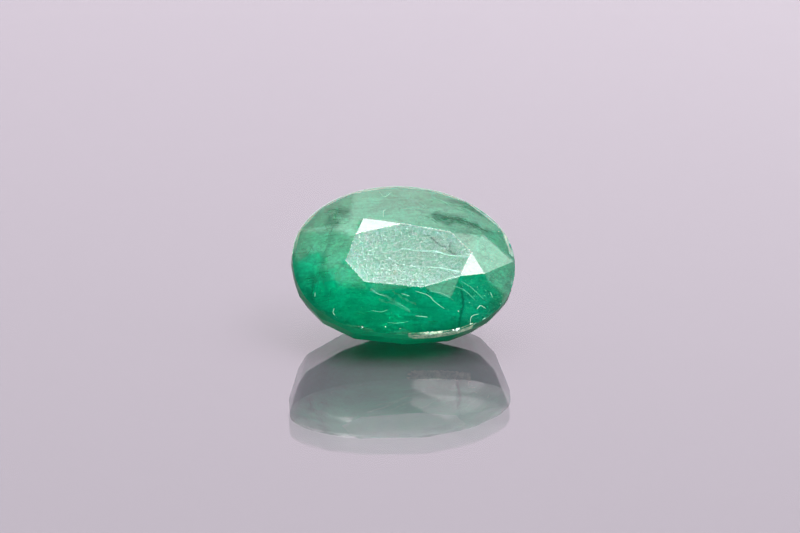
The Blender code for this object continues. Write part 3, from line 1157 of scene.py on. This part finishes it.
# %% Chip the table's edges and scratches
# Table corners in millimetres, and how many chips lie on the edge that starts at each.
TABLE_CORNERS = ((4.1, 0.0), (2.8, 1.4), (-0.2, 1.9), (-3.1, 1.1),
                 (-3.8, -0.8), (-2.7, -2.2), (0.9, -2.5), (3.3, -1.7))
EDGE_CHIPS = (60, 90, 12, 16, 30, 130, 110, 20)
CHIPS_PER_STRETCH = 30         # of a scratch
CHIP_SPREAD = 0.03             # mm
CHIP_SIZES = (0.012, 0.035)    # mm


def chips_along(start, end, count):
    """Return chips scattered close to a line on the table."""
    made = []
    for _ in range(count):
        spot = Vector(start).lerp(Vector(end), dice.random())
        point = on_crown(spot.x + dice.gauss(0, CHIP_SPREAD), spot.y + dice.gauss(0, CHIP_SPREAD))
        made.append((point, dice.uniform(*CHIP_SIZES)))
    return made


chips = []
for scratch in (LONG_SCRATCH, SHORT_SCRATCH):
    for start, end in zip(scratch, scratch[1:]):
        chips += chips_along(start, end, CHIPS_PER_STRETCH)
for start, end, count in zip(TABLE_CORNERS, TABLE_CORNERS[1:] + TABLE_CORNERS[:1], EDGE_CHIPS):
    chips += chips_along(start, end, count)
make_specks("table_edge_chips", chips, powder)

# %% [markdown]
# ## The chalky girdle
# On one stretch at the front the girdle keeps a crust that was never ground away. It
# could be a mask in the stone's material. The crust is raised and grainy, so it is a thin
# closed sheet laid on the girdle, and chance pushes each of its points out a little. Its
# pale colour is partly the crust's own and partly a painted reflection of the bright plate
# that this stretch faces.

# %% Mix the chalk, with its painted reflection
# The pale colour is the crust's, and also paints the reflection of the bright plate on this
# stretch.
CHALK_AND_SHEEN_COLOURS = ((0.12, 0.44, 0.25, 1.0), (0.66, 0.85, 0.6, 1.0))
CHALK_SCALE = 4.0              # per mm

chalk_and_sheen = plain_finish("chalky_skin_and_sheen", CHALK_AND_SHEEN_COLOURS[1], 0.4)
chalk_tree = chalk_and_sheen.node_tree
patches = grain(chalk_tree, place_in_mm(chalk_tree), CHALK_SCALE, detail=4.0, roughness=0.75)
patches = ease(chalk_tree, patches, 0.35, 0.65)
plug(chalk_tree, tint(chalk_tree, patches, *CHALK_AND_SHEEN_COLOURS),
     chalk_tree.nodes["Principled BSDF"].inputs["Base Color"])

# %% Lay the chalky skin
CHALK_ENDS = (0.15, 4.2)       # mm along the stone
CHALK_COLUMNS = 90
CHALK_ROWS = 8
CHALK_LOW = (-0.4, -0.36)      # its lower edge at the left end and at the right, in mm
CHALK_BEND = 1.6               # how late its lower edge rises
CHALK_HIGH = 0.19
CHALK_SLANT = 0.25             # mm that its left end leans
CHALK_THICK = 0.03 * MM
CHALK_LIFTS = (0.004, 0.006)   # mm out of the skin, at the edge and inside it
CHALK_GRAIN = 0.012
EDGE_RAGGED = 0.05             # mm that the lower edge strays
END_RAGGED = 0.5               # and the left end
FRONT_CAST = 8.0               # mm in front of the stone's middle, where its rays start


def on_front_girdle(x, z):
    """Return the point on the front of the girdle at a place in millimetres."""
    start = Vector((x, -FRONT_CAST, z)) * MM
    _, point, _, _ = stone.ray_cast(start, Vector((0, 1, 0)))
    return point / MM


skin = bmesh.new()
columns = []
for i in range(CHALK_COLUMNS + 1):
    share = i / CHALK_COLUMNS
    ragged = EDGE_RAGGED * noise.noise(Vector((share * 20.0, 0.0, 0.0)))
    low_edge = CHALK_LOW[0] + (CHALK_LOW[1] - CHALK_LOW[0]) * share ** CHALK_BEND + ragged
    column = []
    for row in range(CHALK_ROWS + 1):
        z = low_edge + (CHALK_HIGH - low_edge) * row / CHALK_ROWS
        slant = CHALK_SLANT * (1.0 - row / CHALK_ROWS) * (1.0 - share)
        slant += END_RAGGED * noise.noise(Vector((row * 0.9, 5.0, 0.0))) * (1.0 - share) ** 8
        x = CHALK_ENDS[0] + slant + (CHALK_ENDS[1] - CHALK_ENDS[0] - slant) * share
        if row in (0, CHALK_ROWS) or i in (0, CHALK_COLUMNS):
            out = CHALK_LIFTS[0]
        else:
            out = dice.uniform(CHALK_LIFTS[1], CHALK_LIFTS[1] + CHALK_GRAIN)
        point = on_front_girdle(x, z) + Vector((0.0, -out, 0.0))
        column.append(skin.verts.new(point * MM))
    columns.append(column)
for left, right in zip(columns, columns[1:]):
    for row in range(CHALK_ROWS):
        skin.faces.new((left[row], right[row], right[row + 1], left[row + 1]))

# %% Close the skin and put it in place
backed = bmesh.ops.extrude_face_region(skin, geom=skin.faces[:], use_keep_orig=True)
inner = [item for item in backed["geom"] if isinstance(item, bmesh.types.BMVert)]
bmesh.ops.translate(skin, verts=inner, vec=(0.0, CHALK_THICK, 0.0))
bmesh.ops.recalc_face_normals(skin, faces=skin.faces[:])
skin_mesh = bpy.data.meshes.new("chalky_skin_and_sheen")
skin.to_mesh(skin_mesh)
skin.free()
finish_piece(lay_piece("chalky_skin_and_sheen", skin_mesh), chalk_and_sheen)

# %% Chip the girdle
# Chips are fine along the whole crust and crowd at two places, where a few are bigger.
GIRDLE_CHIPS = 110
GIRDLE_CHIP_RUN = (0.2, 4.1)   # mm along the stone
GIRDLE_CHIP_SIZES = (0.015, 0.05)
BIG_CHIPS = ((3.15, 0.13), (3.3, 0.1), (2.95, 0.09), (4.05, 0.08), (1.35, 0.07), (1.6, 0.05))

chips = []
while len(chips) < GIRDLE_CHIPS:
    x = dice.choice((dice.uniform(*GIRDLE_CHIP_RUN), dice.gauss(1.4, 0.3), dice.gauss(3.1, 0.2)))
    if GIRDLE_CHIP_RUN[0] < x < GIRDLE_CHIP_RUN[1]:
        point = on_front_girdle(x, dice.uniform(-0.3 + x * 0.09, 0.18))
        chips.append((point, dice.uniform(*GIRDLE_CHIP_SIZES)))
chips += [(on_front_girdle(x, CHALK_HIGH), size) for x, size in BIG_CHIPS]
make_specks("girdle_chips", chips, powder)

# %% Grains that stand alone
# Each has its place, x and y, and its size, in millimetres.
LONE_GRAINS = ((-2.74, -4.8, 0.07), (-1.31, -4.78, 0.05), (3.24, -3.77, 0.045),
               (6.02, 2.06, 0.05), (-2.95, -4.76, 0.03), (-0.4, -4.9, 0.04))
make_specks("lone_grains", [(on_crown(x, y), size) for x, y, size in LONE_GRAINS], powder)
